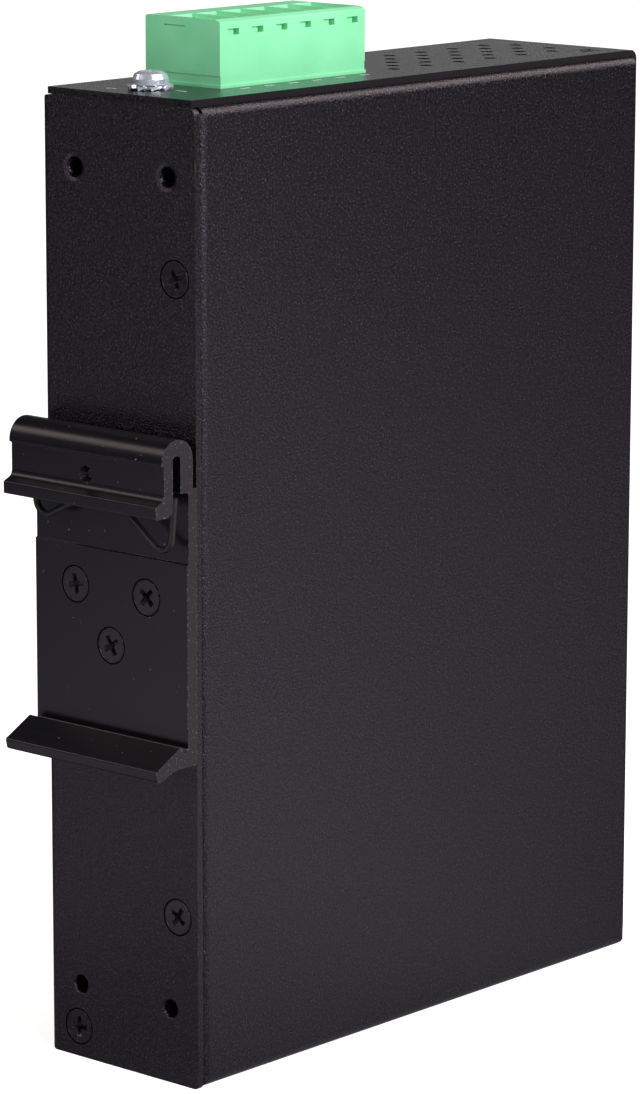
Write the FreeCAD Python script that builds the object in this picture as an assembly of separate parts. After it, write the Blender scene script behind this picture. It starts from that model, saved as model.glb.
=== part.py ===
import FreeCAD, Part
import os
from math import atan2, cos, degrees, hypot, pi, radians, sin, tan

# DIN rail ethernet switch: a folded steel case, a rail clip with its wire spring on the
# back, a pluggable terminal block on top and five RJ45 sockets in the front.
# Millimetres. X runs across the width, +Y to the rail side, -Y to the sockets, +Z up.
# The origin is the middle of the case's bottom face.

# Case
WIDTH = 30.0
HEIGHT = 142.0
DEPTH = 100.5
SHEET = 1.0
BEND = 1.4                       # outer bend radius of every fold
SIDE = WIDTH / 2
REAR = DEPTH / 2
FRONT = -DEPTH / 2
COVER_TOP = HEIGHT - SHEET       # both side trays end under the top plate
WRAP_X = (-13.55, 14.5)          # the wrap is narrower, so the side bends show
BOTTOM_HALF = 13.4               # the bottom plate lies between the trays' bottom folds
CORNER_NOTCH = 0.8
WRAP_BEND_TOP = 2.6              # the trays' front flanges start above the wrap's bottom bend
FLANGE_RIGHT = 8.0
FLANGE_LEFT = 6.0
FLANGE_FRONT = 4.5
TAB_X = (4.0, 13.0)
TAB_TOP = 8.3

# Screws
M3 = 1.5
HEAD_M3 = 2.7
SHANK_M25, HEAD_M25 = 1.25, 2.1
HEAD_SINK = 0.05                 # heads sit this much below the surface
COUNTERSINK = HEAD_M3 + HEAD_SINK # 90 degree cones
CLIP_SCREW_LENGTH, PANEL_SCREW_LENGTH, TOP_SCREW_LENGTH = 6.0, 5.0, 4.0
NUT_FLATS, TAB_NUT_FLATS, NUT_HEIGHT = 5.0, 4.0, 2.0
COVER_SCREWS = ((-11.0, 117.0), (-11.0, 25.0))
TAB_SCREW = (9.0, 4.55)
WALL_SPACING = (18.0, 120.0)
WALL_CENTRE = (-0.5, 71.1)
WALL_HOLE = 1.3
HOLE_LEAD = {-1: 0.3, 1: 0.75}   # rounding round the lower and the upper wall holes
TOP_SCREW = (-9.3, -43.3)

# Rail clip, measured out from the back of the case
CLIP_HALF = 15.0
CLIP_LOW, CLIP_PLATE_TOP, CLIP_TOP = 48.2, 88.05, 95.35
CLIP_STEP = 77.2
PLATE_THICK, PLATE_THIN = 1.9, 1.6
HOOK_FRONT, SLOT_FRONT, SLOT_REAR, LEG_REAR, HOOK_REAR = 0.7, 3.2, 4.75, 6.5, 6.96
SLOT_TOP = 93.05
FOOT_LOW, FOOT_TOP = 84.55, 86.35
CLIP_SCREWS = ((7.0, 71.5), (-7.0, 71.5), (0.0, 63.5))
STAKE = (0.2, 88.95)

# Clip spring, in the plane behind the hook
WIRE = 1.0
SPRING_TILT = 5.6                # it sits a little crooked in its slot
SPRING_TOP = (-1.45, 87.55)
SPRING_HALF = 13.35
SPRING_DIP = 7.1

# Vents in the top plate
VENT_RADIUS = 1.0
VENT_ROWS = 5
VENT_ROW_PITCH = 3.4
VENT_PITCH = 7.4
VENT_CENTRE_X = 1.1
VENT_FIRST = -2.3

# Terminal block
POLES = 6
POLE_PITCH = 5.08
BLOCK_CENTRE = 19.75
BLOCK_LENGTH = 31.0
PLUG_X = (-5.8, 8.7)
PLUG_BASE, PLUG_TOP = 142.4, 151.65
RIM = (-5.95, 8.85)
RIM_END = 0.05                   # the header is this much longer than the plug at each end
CLAMP_SCREW = 1.6
GROUND = (0.95, 42.35)

# Main board and sockets
BOARD_FACE = 8.4
BOARD = 1.6
BOARD_Y = (-44.0, 44.0)
BOARD_Z = (6.0, 137.0)
STANDOFFS = ((-38.0, 11.0), (38.0, 11.0), (-38.0, 132.0), (38.0, 125.0))
JACKS = 5
JACK_FIRST, JACK_PITCH = 24.0, 18.0
JACK_HEIGHT, JACK_WIDTH, JACK_DEPTH = 13.4, 16.0, 21.0
JACK_FRONT = FRONT - 0.4
SHIELD = 0.25
STATUS_Z = (115.0, 121.0, 127.0)
STATUS_X = 4.0
LED_REACH = 1.2


def vec(x, y, z):
    return FreeCAD.Vector(x, y, z)


def box(x0, x1, y0, y1, z0, z1):
    return Part.makeBox(x1 - x0, y1 - y0, z1 - z0, vec(x0, y0, z0))


def rod(radius, start, end):
    axis = end - start
    return Part.makeCylinder(radius, axis.Length, start, axis)


def taper(radius0, radius1, start, end):
    axis = end - start
    return Part.makeCone(radius0, radius1, axis.Length, start, axis)


def fuse(shapes):
    whole = shapes[0].multiFuse(shapes[1:]) if len(shapes) > 1 else shapes[0]
    return whole.removeSplitter()


def rounded_wire(points, place):
    """Closed outline of (a, b, radius) corners, laid in space by place(a, b)."""
    edges, last, first = [], None, None
    count = len(points)
    for i in range(count):
        a0, b0, _ = points[i - 1]
        a1, b1, radius = points[i]
        a2, b2, _ = points[(i + 1) % count]
        ua, ub = a0 - a1, b0 - b1
        wa, wb = a2 - a1, b2 - b1
        ul, wl = hypot(ua, ub), hypot(wa, wb)
        ua, ub, wa, wb = ua / ul, ub / ul, wa / wl, wb / wl
        if radius > 0:
            half = (pi - abs(atan2(ua * wb - ub * wa, ua * wa + ub * wb))) / 2
            reach = radius * tan(half)
            inward = radius / cos(half)
            ma, mb = ua + wa, ub + wb
            ml = hypot(ma, mb)
            centre = (a1 + ma / ml * inward, b1 + mb / ml * inward)
            start = place(a1 + ua * reach, b1 + ub * reach)
            end = place(a1 + wa * reach, b1 + wb * reach)
            middle = place(centre[0] - ma / ml * radius, centre[1] - mb / ml * radius)
        else:
            start = end = place(a1, b1)
        if last is not None and (start - last).Length > 1e-6:
            edges.append(Part.LineSegment(last, start).toShape())
        if radius > 0:
            edges.append(Part.Arc(start, middle, end).toShape())
        first = first or start
        last = end
    if (first - last).Length > 1e-6:
        edges.append(Part.LineSegment(last, first).toShape())
    return Part.Wire(edges)


def along_x(points, x0, x1):
    wire = rounded_wire(points, lambda y, z: vec(x0, y, z))
    return Part.Face(wire).extrude(vec(x1 - x0, 0, 0))


def along_y(points, y0, y1):
    wire = rounded_wire(points, lambda x, z: vec(x, y0, z))
    return Part.Face(wire).extrude(vec(0, y1 - y0, 0))


def along_z(points, z0, z1):
    wire = rounded_wire(points, lambda x, y: vec(x, y, z0))
    return Part.Face(wire).extrude(vec(0, 0, z1 - z0))


def round_panel_edges(block, x, radius):
    """Fillet the four edges of a block that lie in the plane at this x."""
    edges = [edge for edge in block.Edges if all(abs(v.X - x) < 1e-6 for v in edge.Vertexes)]
    return block.makeFillet(radius, edges)


def turned(shape, axis, angle, centre):
    copy = shape.copy()
    copy.rotate(centre, axis, angle)
    return copy


def save(name, shape):
    shape.exportStep(f"parts/{name}.step")


# Case -------------------------------------------------------------------------------

def wall_hole_places():
    half_x, half_z = WALL_SPACING[0] / 2, WALL_SPACING[1] / 2
    return [(WALL_CENTRE[0] + sx * half_x, WALL_CENTRE[1] + sz * half_z)
            for sx in (-1, 1) for sz in (-1, 1)]


def countersink(x, z, surface):
    """Cone for a flat head whose face lies at this y, with the clearance hole behind."""
    cone = taper(COUNTERSINK, M3 + 0.1, vec(x, surface, z),
                 vec(x, surface - (COUNTERSINK - M3 - 0.1), z))
    hole = rod(M3 + 0.1, vec(x, surface, z), vec(x, surface - 5, z))
    return cone.fuse(hole)


def rear_left_shell():
    """Back panel and left wall, one folded sheet, with flanges for the wrap to lie on."""
    outer = box(-SIDE, SIDE, FRONT + SHEET, REAR, 0, COVER_TOP)
    inner = box(-SIDE - 1, SIDE - SHEET, FRONT + 2 * SHEET, REAR - SHEET,
                SHEET, COVER_TOP - SHEET)
    shell = round_panel_edges(outer, SIDE, BEND)
    shell = shell.cut(round_panel_edges(inner, SIDE - SHEET, BEND - SHEET))
    inside = REAR - SHEET
    shell = shell.cut(box(-SIDE - 1, SIDE - FLANGE_LEFT, FRONT, inside, -1, HEIGHT))
    shell = shell.cut(box(-SIDE - 1, SIDE - FLANGE_FRONT, FRONT, FRONT + 2 * SHEET, -1, HEIGHT))
    shell = shell.cut(box(-SIDE - 1, WRAP_X[1] + 0.1, FRONT, FRONT + 2 * SHEET, -1, WRAP_BEND_TOP))
    for z0, z1 in ((-1, CORNER_NOTCH), (COVER_TOP - CORNER_NOTCH, HEIGHT)):
        shell = shell.cut(box(0, SIDE + 1, inside - CORNER_NOTCH, inside, z0, z1))
        front = FRONT + SHEET
        shell = shell.cut(box(0, SIDE + 1, front - 1, front + CORNER_NOTCH, z0, z1))
    corner = [(-SIDE, COVER_TOP, 1.3), (SIDE + 5, COVER_TOP, 0), (SIDE + 5, 0, 0), (-SIDE, 0, 0.8)]
    shell = shell.common(along_y(corner, FRONT, REAR + 1))
    shell = shell.fuse([ring_collar(x, z) for x, z in wall_hole_places()])
    tools = [countersink(x, z, REAR) for x, z in COVER_SCREWS + (TAB_SCREW,)]
    tools += [rounded_hole(x, z) for x, z in wall_hole_places()]
    for x, z in CLIP_SCREWS:
        tools.append(rod(M3, vec(x, REAR + 1, z), vec(x, REAR - 2, z)))
    return shell.cut(fuse(tools))


def rounded_hole(x, z):
    """Tool for a wall hole whose mouth rolls over in two slopes, as the collar was pulled through."""
    lead = HOLE_LEAD[1 if z > WALL_CENTRE[1] else -1]
    edge, slope = WALL_HOLE + lead, lead * (1 - cos(radians(45)))
    points = [(0, 0.5), (edge, 0.5), (edge, 0), (WALL_HOLE + slope, -slope), (WALL_HOLE, -lead),
              (WALL_HOLE, -4), (0, -4), (0, 0.5)]
    outline = Part.makePolygon([vec(x + a, REAR + b, z) for a, b in points])
    return Part.Face(outline).revolve(vec(x, REAR, z), vec(0, 1, 0), 360)


def ring_collar(x, z):
    """Collar pulled through the sheet round a tapped wall hole."""
    return rod(2.2, vec(x, REAR - 0.5, z), vec(x, REAR - SHEET - 1.2, z))


def right_cover():
    """Right wall, a tray with flanges behind the back panel, under the top and at the front."""
    rear = REAR - SHEET
    outer = box(-SIDE, 0, FRONT + SHEET, rear, 0, COVER_TOP)
    inner = box(-SIDE + SHEET, 1, FRONT + 2 * SHEET, rear - SHEET, SHEET, COVER_TOP - SHEET)
    tray = round_panel_edges(outer, -SIDE, BEND)
    tray = tray.cut(round_panel_edges(inner, -SIDE + SHEET, BEND - SHEET))
    tray = tray.cut(box(-SIDE + FLANGE_RIGHT, 1, FRONT, REAR, -1, HEIGHT))
    tray = tray.cut(box(-SIDE + FLANGE_FRONT, 1, FRONT, FRONT + 2 * SHEET, -1, HEIGHT))
    tray = tray.cut(box(WRAP_X[0] - 0.1, 1, FRONT, FRONT + 2 * SHEET, -1, WRAP_BEND_TOP))
    for z0, z1 in ((-1, CORNER_NOTCH), (COVER_TOP - CORNER_NOTCH, HEIGHT)):
        for y0, y1 in ((rear - CORNER_NOTCH, rear + 1), (FRONT, FRONT + SHEET + CORNER_NOTCH)):
            tray = tray.cut(box(-SIDE - 1, 1, y0, y1, z0, z1))
    tools = [rod(M3, vec(x, REAR, z), vec(x, REAR - 4, z)) for x, z in COVER_SCREWS]
    tools += [taper(COUNTERSINK - SHEET, M3, vec(x, rear, z),
                    vec(x, rear - (COUNTERSINK - SHEET - M3), z)) for x, z in COVER_SCREWS]
    for x, z in wall_hole_places():
        if x < 0:
            tools.append(rod(2.8, vec(x, REAR, z), vec(x, REAR - 4, z)))
    x, z = CLIP_SCREWS[1]
    tools.append(rod(3.2, vec(x, REAR, z), vec(x, REAR - 4, z)))
    x, y = TOP_SCREW
    tools.append(rod(SHANK_M25, vec(x, y, HEIGHT), vec(x, y, COVER_TOP - 3)))
    return tray.cut(fuse(tools))


def vent_places():
    """Five rows of round holes, every other row shifted by half a pitch."""
    places = []
    for row in range(VENT_ROWS):
        x = VENT_CENTRE_X + (row - (VENT_ROWS - 1) / 2) * VENT_ROW_PITCH
        y = VENT_FIRST - row % 2 * VENT_PITCH / 2
        while y > FRONT + 6:
            if y < BLOCK_CENTRE - BLOCK_LENGTH / 2 - 2:
                places.append((x, y))
            y -= VENT_PITCH
    return places


def jack_centres():
    return [JACK_FIRST + i * JACK_PITCH for i in range(JACKS)]


def vent_punch(x, y):
    """Twelve-sided punch, which keeps the plate with its many small holes light."""
    corners = [(x + VENT_RADIUS * cos(radians(a)), y + VENT_RADIUS * sin(radians(a)), 0)
               for a in range(0, 360, 30)]
    return along_z(corners, COVER_TOP - 1, HEIGHT + 1)


def front_wrap():
    """Top plate, front plate and bottom plate, one strip folded twice, with a rear tab."""
    rear = REAR - SHEET
    outer = [(rear, HEIGHT, 0), (FRONT, HEIGHT, BEND), (FRONT, SHEET, BEND), (rear - SHEET, SHEET, 0),
             (rear - SHEET, 2 * SHEET, 0), (FRONT + SHEET, 2 * SHEET, BEND - SHEET),
             (FRONT + SHEET, COVER_TOP, BEND - SHEET), (rear, COVER_TOP, 0)]
    wrap = along_x(outer, *WRAP_X)
    tab = [(rear - 3, SHEET, 0), (rear, SHEET, BEND), (rear, TAB_TOP, 0), (rear - SHEET, TAB_TOP, 0),
           (rear - SHEET, 2 * SHEET, BEND - SHEET), (rear - 3, 2 * SHEET, 0)]
    wrap = wrap.fuse(along_x(tab, *TAB_X))
    tools = [box(WRAP_X[0] - 1, TAB_X[0] - 1, rear - 1.6, REAR, 0, 3),
             box(TAB_X[0] - 1, TAB_X[0], rear - 3, REAR, 0, 3),
             box(-SIDE, -BOTTOM_HALF, FRONT + SHEET, REAR, 0, WRAP_BEND_TOP),
             box(BOTTOM_HALF, SIDE, FRONT + SHEET, REAR, 0, WRAP_BEND_TOP)]
    x, z = TAB_SCREW
    tools.append(rod(M3, vec(x, REAR, z), vec(x, REAR - 4, z)))
    tools.append(taper(COUNTERSINK - SHEET, M3, vec(x, rear, z),
                       vec(x, rear - (COUNTERSINK - SHEET - M3), z)))
    tools += [vent_punch(x, y) for x, y in vent_places()]
    half = BLOCK_LENGTH / 2 + RIM_END + 0.2
    tools.append(box(RIM[0] - 0.15, RIM[1] + 0.15, BLOCK_CENTRE - half, BLOCK_CENTRE + half,
                     COVER_TOP - 1, HEIGHT + 1))
    x, y = GROUND
    tools.append(rod(M3, vec(x, y, HEIGHT + 1), vec(x, y, COVER_TOP - 1)))
    x, y = TOP_SCREW
    cone = HEAD_M25 + HEAD_SINK
    tools.append(taper(cone, SHANK_M25, vec(x, y, HEIGHT), vec(x, y, HEIGHT - cone + SHANK_M25)))
    tools.append(rod(SHANK_M25, vec(x, y, HEIGHT), vec(x, y, COVER_TOP - 1)))
    for z in jack_centres():
        tools.append(box(BOARD_FACE - JACK_HEIGHT - 0.1, BOARD_FACE + 0.1, FRONT - 1, FRONT + 2,
                         z - JACK_WIDTH / 2 - 0.1, z + JACK_WIDTH / 2 + 0.1))
    for z in STATUS_Z:
        tools.append(rod(1.25, vec(STATUS_X, FRONT - 1, z), vec(STATUS_X, FRONT + 2, z)))
    return wrap.cut(tools)


# Fasteners --------------------------------------------------------------------------

def cross_recess(across, depth):
    """Tapered cross cut into a head whose face is at the origin, facing +Z."""
    arm = Part.makeWedge(-0.35, 0, -0.3, -0.42, -across, 0.35, depth, 0.3, 0.42, across)
    arm = turned(arm, vec(1, 0, 0), 90, vec(0, 0, 0))
    arm.translate(vec(0, 0, 0.01 - depth))
    return arm.fuse(turned(arm, vec(0, 0, 1), 90, vec(0, 0, 0)))


def flat_screw(radius, shank, length, spin):
    """Countersunk cross-recess screw along -Z, its head's face at the origin."""
    neck = shank - radius
    head = taper(radius, shank, vec(0, 0, 0), vec(0, 0, neck))
    screw = head.fuse(rod(shank, vec(0, 0, neck), vec(0, 0, -length))).removeSplitter()
    screw = screw.cut(cross_recess(radius * 0.58, 1.1))
    return turned(screw, vec(0, 0, 1), spin, vec(0, 0, 0))


def facing_rear(shape, x, y, z):
    """Turn a +Z-facing piece to face +Y and move it to its place."""
    copy = turned(shape, vec(1, 0, 0), -90, vec(0, 0, 0))
    copy.translate(vec(x, y, z))
    return copy


def moved(shape, x, y, z):
    copy = shape.copy()
    copy.translate(vec(x, y, z))
    return copy


def panel_screws():
    places = COVER_SCREWS + (TAB_SCREW,)
    return Part.makeCompound([facing_rear(flat_screw(HEAD_M3, M3, PANEL_SCREW_LENGTH, 20 + 35 * i),
                                          x, REAR - HEAD_SINK, z) for i, (x, z) in enumerate(places)])


def hex_nut(x, y, z, flats=NUT_FLATS, start=30):
    """Hexagonal weld nut on the inner side of a sheet whose inner face is at y."""
    reach = flats / 2 / cos(radians(30))
    corners = [(x + reach * cos(radians(start + a)), z + reach * sin(radians(start + a)), 0)
               for a in range(0, 360, 60)]
    nut = along_y(corners, y - NUT_HEIGHT, y)
    return nut.cut(rod(M3, vec(x, y + 1, z), vec(x, y - NUT_HEIGHT - 1, z)))


def panel_nuts():
    nuts = [hex_nut(x, REAR - 2 * SHEET, z) for x, z in COVER_SCREWS]
    x, z = TAB_SCREW
    nuts.append(hex_nut(x, REAR - 2 * SHEET, z, TAB_NUT_FLATS, 0))
    return Part.makeCompound(nuts)


def clip_screws():
    spins = (12, 48, 30)
    return Part.makeCompound([facing_rear(flat_screw(HEAD_M3, M3, CLIP_SCREW_LENGTH, spin),
                                          x, REAR + PLATE_THICK - HEAD_SINK, z)
                              for (x, z), spin in zip(CLIP_SCREWS, spins)])


def clip_nuts():
    return Part.makeCompound([hex_nut(x, REAR - SHEET, z) for x, z in CLIP_SCREWS])


def cover_top_screw():
    x, y = TOP_SCREW
    return moved(flat_screw(HEAD_M25, SHANK_M25, TOP_SCREW_LENGTH, 15), x, y, HEIGHT - HEAD_SINK)


def top_nut(x, y, z, flats, height, thread):
    reach = flats / 2 / cos(radians(30))
    corners = [(x + reach * cos(radians(a)), y + reach * sin(radians(a)), 0) for a in range(30, 390, 60)]
    nut = along_z(corners, z - height, z)
    return nut.cut(rod(thread, vec(x, y, z + 1), vec(x, y, z - height - 1)))


def cover_top_nut():
    x, y = TOP_SCREW
    return top_nut(x, y, COVER_TOP - SHEET, 4.2, 1.8, SHANK_M25)


def ground_screw():
    """Pan head: a low dome in three steps over a short cylinder, seated on the star washer."""
    x, y = GROUND
    base, radius, height = HEIGHT + 0.75, 2.6, 1.85
    outline = [(0.0, 0.0), (radius, 0.0), (radius, height - 1.05), (radius - 0.3, height - 0.35),
               (radius - 1.0, height), (0.0, height), (0.0, 0.0)]
    wire = Part.makePolygon([vec(x + a, y, base + b) for a, b in outline])
    head = Part.Face(wire).revolve(vec(x, y, 0), vec(0, 0, 1), 360)
    screw = head.fuse(rod(M3, vec(x, y, base + 0.1), vec(x, y, HEIGHT - 5))).removeSplitter()
    cross = turned(cross_recess(1.5, 1.1), vec(0, 0, 1), 25, vec(0, 0, 0))
    return screw.cut(moved(cross, x, y, base + height))


def star_washer():
    """Ring with ten outer teeth, each twisted to bite into the sheet and the head."""
    x, y = GROUND
    middle = HEIGHT + 0.375
    ring = rod(2.35, vec(0, 0, -0.2), vec(0, 0, 0.2)).cut(rod(1.65, vec(0, 0, -1), vec(0, 0, 1)))
    teeth = []
    for i in range(10):
        tooth = box(2.2, 3.2, -0.5, 0.5, -0.2, 0.2)
        tooth = turned(tooth, vec(1, 0, 0), 22, vec(2.7, 0, 0))
        teeth.append(turned(tooth, vec(0, 0, 1), 36 * i, vec(0, 0, 0)))
    washer = ring.multiFuse(teeth).removeSplitter()
    limits = rod(4, vec(0, 0, -0.375), vec(0, 0, 0.375))
    return moved(washer.common(limits), x, y, middle)


def ground_nut():
    x, y = GROUND
    return top_nut(x, y, COVER_TOP, 5.5, 2.4, M3)


# Rail clip --------------------------------------------------------------------------

def din_clip():
    """Aluminium extrusion: base plate, upper hook with its spring slot, lower lip."""
    profile = [
        (0.0, CLIP_LOW, 0.3), (4.6, CLIP_LOW, 4.0), (7.6, CLIP_LOW - 1.3, 0.25),
        (8.15, CLIP_LOW - 1.0, 0.3), (8.45, CLIP_LOW + 0.35, 0.35), (3.47, CLIP_LOW + 3.05, 0.2),
        (2.35, CLIP_LOW + 2.1, 0.25), (PLATE_THICK, CLIP_LOW + 2.6, 0.2),
        (PLATE_THICK, CLIP_STEP, 0.1), (PLATE_THIN, CLIP_STEP + 0.15, 0.1),
        (PLATE_THIN, CLIP_PLATE_TOP - 0.45, 0.2), (SLOT_FRONT, CLIP_PLATE_TOP - 0.45, 0.25),
        (SLOT_FRONT, SLOT_TOP, 0.5), (SLOT_REAR, SLOT_TOP, 0.5), (SLOT_REAR, FOOT_LOW, 1.25),
        (8.2, FOOT_LOW, 0.25), (8.2, FOOT_TOP, 0.25), (LEG_REAR, FOOT_TOP + 0.75, 1.2),
        (LEG_REAR, 91.75, 0.1), (HOOK_REAR, 92.0, 0.1), (HOOK_REAR, CLIP_TOP, 3.1),
        (HOOK_FRONT, CLIP_TOP, 3.1), (HOOK_FRONT, CLIP_PLATE_TOP, 0.2), (0.0, CLIP_PLATE_TOP, 0.1)]
    clip = along_x([(REAR + y, z, r) for y, z, r in profile], -CLIP_HALF, CLIP_HALF)
    tools = [countersink(x, z, REAR + PLATE_THICK) for x, z in CLIP_SCREWS]
    x, z = STAKE
    leg = REAR + LEG_REAR
    tools.append(taper(1.25, 0.5, vec(x, leg, z), vec(x, leg - 0.9, z)))
    return clip.cut(tools)


def clip_spring():
    """Round wire bent to a W: two loops press on the rail, the hump sits in the hook's slot."""
    low = -SPRING_DIP
    half = SPRING_HALF
    corners = [(-half, 0.95, 0), (-half, low - 1.5, 2.0), (-3.4, low + 4.6, 2.5), (-1.7, 0.35, 1.2),
               (1.7, 0.35, 1.2), (3.4, low + 4.6, 2.5), (half, low - 1.5, 2.0), (half, 0.95, 0)]
    points = [vec(a, 0, b) for a, b, _ in corners]
    pieces, last = [], points[0]
    for before, here, after, (_, _, radius) in zip(points, points[1:], points[2:], corners[1:]):
        back, on = before - here, after - here
        bend = pi - back.getAngle(on)
        back.normalize()
        on.normalize()
        start = here + back * (radius * tan(bend / 2))
        bisector = back + on
        bisector.normalize()
        centre = here + bisector * (radius / cos(bend / 2))
        section = Part.Face(Part.Wire(Part.makeCircle(WIRE / 2, start, back)))
        pieces += [rod(WIRE / 2, last, start),
                   section.revolve(centre, back.cross(on), -degrees(bend))]
        last = here + on * (radius * tan(bend / 2))
    pieces.append(rod(WIRE / 2, last, points[-1]))
    wire = turned(fuse(pieces), vec(0, 1, 0), -SPRING_TILT, vec(0, 0, 0))
    return moved(wire, SPRING_TOP[0], REAR + SLOT_REAR - WIRE / 2, SPRING_TOP[1])


# Terminal block ---------------------------------------------------------------------

def pole_centres():
    return [BLOCK_CENTRE + (i - (POLES - 1) / 2) * POLE_PITCH for i in range(POLES)]


def block_box(x0, x1, grow, z0, z1):
    half = BLOCK_LENGTH / 2 + grow
    return box(x0, x1, BLOCK_CENTRE - half, BLOCK_CENTRE + half, z0, z1)


def terminal_header():
    """Right-angle socket on the board; its rim stands just proud of the top plate."""
    body = block_box(RIM[0], BOARD_FACE, RIM_END, 131.5, 137.2)
    body = body.fuse(block_box(RIM[0], RIM[1], RIM_END, 137.2, PLUG_BASE))
    cavity = block_box(-4.9, 7.7, -0.8, 133.5, HEIGHT + 2)
    tools = [cavity]
    for y in pole_centres():
        tools.append(box(0.9, 1.9, y - 0.5, y + 0.5, 131, 134))
    return body.cut(tools).removeSplitter()


def header_pins():
    """Square pins bent once, from the plug's contacts down and across into the board."""
    pins = []
    for y in pole_centres():
        upright = box(0.9, 1.9, y - 0.5, y + 0.5, 129.5, 141.0)
        tail = box(0.9, BOARD_FACE + BOARD + 1.0, y - 0.5, y + 0.5, 129.5, 130.5)
        pins.append(upright.fuse(tail).removeSplitter())
    return Part.makeCompound(pins)


def wire_funnel(y):
    """Tool for one wire entry: a mouth that narrows to the clamp's chamber."""
    funnel = Part.makeWedge(-2.3, 0, -1.7, -2.2, -4.4, 2.9, 2.21, 1.7, 2.2, 4.3)
    funnel = turned(funnel, vec(1, 0, 0), 90, vec(0, 0, 0))
    funnel.translate(vec(0, y, PLUG_TOP - 2.2))
    chamber = box(-2.3, 2.9, y - 1.7, y + 1.7, 143.6, PLUG_TOP - 2.0)
    return funnel.fuse([chamber, box(0.2, 2.6, y - 1.3, y + 1.3, 134, 143.7)])


def terminal_plug():
    """Six-pole plug: bevelled housing, wire funnels on top, keying windows on one side."""
    profile = [(PLUG_X[0], PLUG_BASE, 0), (PLUG_X[0], PLUG_TOP - 0.4, 0.2),
               (PLUG_X[0] + 0.9, PLUG_TOP, 0.4), (PLUG_X[1], PLUG_TOP, 0.4),
               (PLUG_X[1], PLUG_BASE, 0)]
    half = BLOCK_LENGTH / 2
    body = along_y(profile, BLOCK_CENTRE - half, BLOCK_CENTRE + half)
    body = body.fuse(block_box(-4.7, 7.5, -1.0, 134.5, PLUG_BASE))
    tools = []
    near = PLUG_X[0]
    for y in pole_centres():
        tools.append(wire_funnel(y))
        tools.append(rod(CLAMP_SCREW + 0.1, vec(2.5, y, 146.6), vec(PLUG_X[1] + 1, y, 146.6)))
        tools.append(box(near - 1, near + 0.5, y - 1.18, y + 1.18, 149.4, 150.3))
        tools.append(box(near - 1, near + 1.4, y - 1.18, y - 0.5, 149.4, 150.3))
    rear = BLOCK_CENTRE + half
    tools.append(box(1.0, 5.0, rear - 0.3, rear + 1, 150.3, 150.5))
    for y0, y1 in ((rear - 0.12, rear + 1), (2 * BLOCK_CENTRE - rear - 1, 2 * BLOCK_CENTRE - rear + 0.12)):
        tools.append(box(PLUG_X[0] - 1, PLUG_X[1] + 1, y0, y1, PLUG_BASE - 1, PLUG_BASE + 1.3))
    return body.cut(tools)


def plug_screws():
    """Slotted clamping screws, driven from the plug's outer side."""
    screws = []
    for i, y in enumerate(pole_centres()):
        screw = rod(CLAMP_SCREW, vec(2.3, y, 146.6), vec(7.2, y, 146.6))
        slot = box(6.5, 8.0, y - 0.3, y + 0.3, 143, 150)
        slot = turned(slot, vec(1, 0, 0), 25 * i + 10, vec(6, y, 146.6))
        screws.append(screw.cut(slot).removeSplitter())
    return Part.makeCompound(screws)


def wire_clamps():
    """Plated cages that the screws press against the wire."""
    cages = []
    for y in pole_centres():
        cage = box(-2.3, 2.3, y - 1.7, y + 1.7, 143.6, 149.3)
        cages.append(cage.cut(box(-1.6, 1.2, y - 1.1, y + 1.1, 143, 150)))
    return Part.makeCompound(cages)


def plug_contacts():
    """Forked contacts that grip the header's pins."""
    forks = []
    for y in pole_centres():
        fork = box(0.2, 2.6, y - 0.9, y + 0.9, 135.2, 143.6)
        forks.append(fork.cut(box(0.9, 1.9, y - 1, y + 1, 135, 142.2)))
    return Part.makeCompound(forks)


# Board and what it carries -----------------------------------------------------------

def main_board():
    board = box(BOARD_FACE, BOARD_FACE + BOARD, *BOARD_Y, *BOARD_Z)
    return board.cut([box(BOARD_FACE - 1, BOARD_FACE + 3, y - 0.5, y + 0.5, 129.5, 130.5)
                      for y in pole_centres()])


def board_standoffs():
    """Hexagonal clinch standoffs in the left wall."""
    posts = []
    for y, z in STANDOFFS:
        corners = [(y + 2.6 * cos(radians(a)), z + 2.6 * sin(radians(a)), 0) for a in range(0, 360, 60)]
        posts.append(along_x(corners, BOARD_FACE + BOARD, SIDE - SHEET))
    return Part.makeCompound(posts)


def board_screws():
    """Low round heads that clamp the board to its standoffs."""
    return Part.makeCompound([rod(2.4, vec(BOARD_FACE - 1.5, y, z), vec(BOARD_FACE, y, z))
                              for y, z in STANDOFFS])


def jack_shield(z):
    """Folded tin shield: open to the board and round the mouth of the insert."""
    low = BOARD_FACE - JACK_HEIGHT
    half = JACK_WIDTH / 2
    back = JACK_FRONT + JACK_DEPTH
    shell = box(low, BOARD_FACE, JACK_FRONT, back, z - half, z + half)
    hollow = box(low + SHIELD, BOARD_FACE + 1, JACK_FRONT + SHIELD, back - SHIELD,
                 z - half + SHIELD, z + half - SHIELD)
    mouth = box(low + 0.9, BOARD_FACE - 1.1, JACK_FRONT - 1, JACK_FRONT + 1, z - 7.1, z + 7.1)
    return shell.cut([hollow, mouth])


def jack_insert(z):
    """Moulded socket with the plug's cavity, the latch notch and two lamp windows."""
    low = BOARD_FACE - JACK_HEIGHT + SHIELD
    half = JACK_WIDTH / 2 - SHIELD
    front = JACK_FRONT + SHIELD
    body = box(low, BOARD_FACE - 0.3, front, JACK_FRONT + JACK_DEPTH - SHIELD, z - half, z + half)
    high = BOARD_FACE - 2.0
    tools = [box(high - 6.9, high, front - 1, front + 14, z - 5.9, z + 5.9),
             box(high - 8.3, high - 6.8, front - 1, front + 11, z - 3.15, z + 3.15),
             box(high - 9.3, high - 8.2, front - 1, front + 7, z - 1.7, z + 1.7)]
    for side in (-1, 1):
        tools.append(lamp_block(z, side))
    return body.cut(tools)


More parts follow.
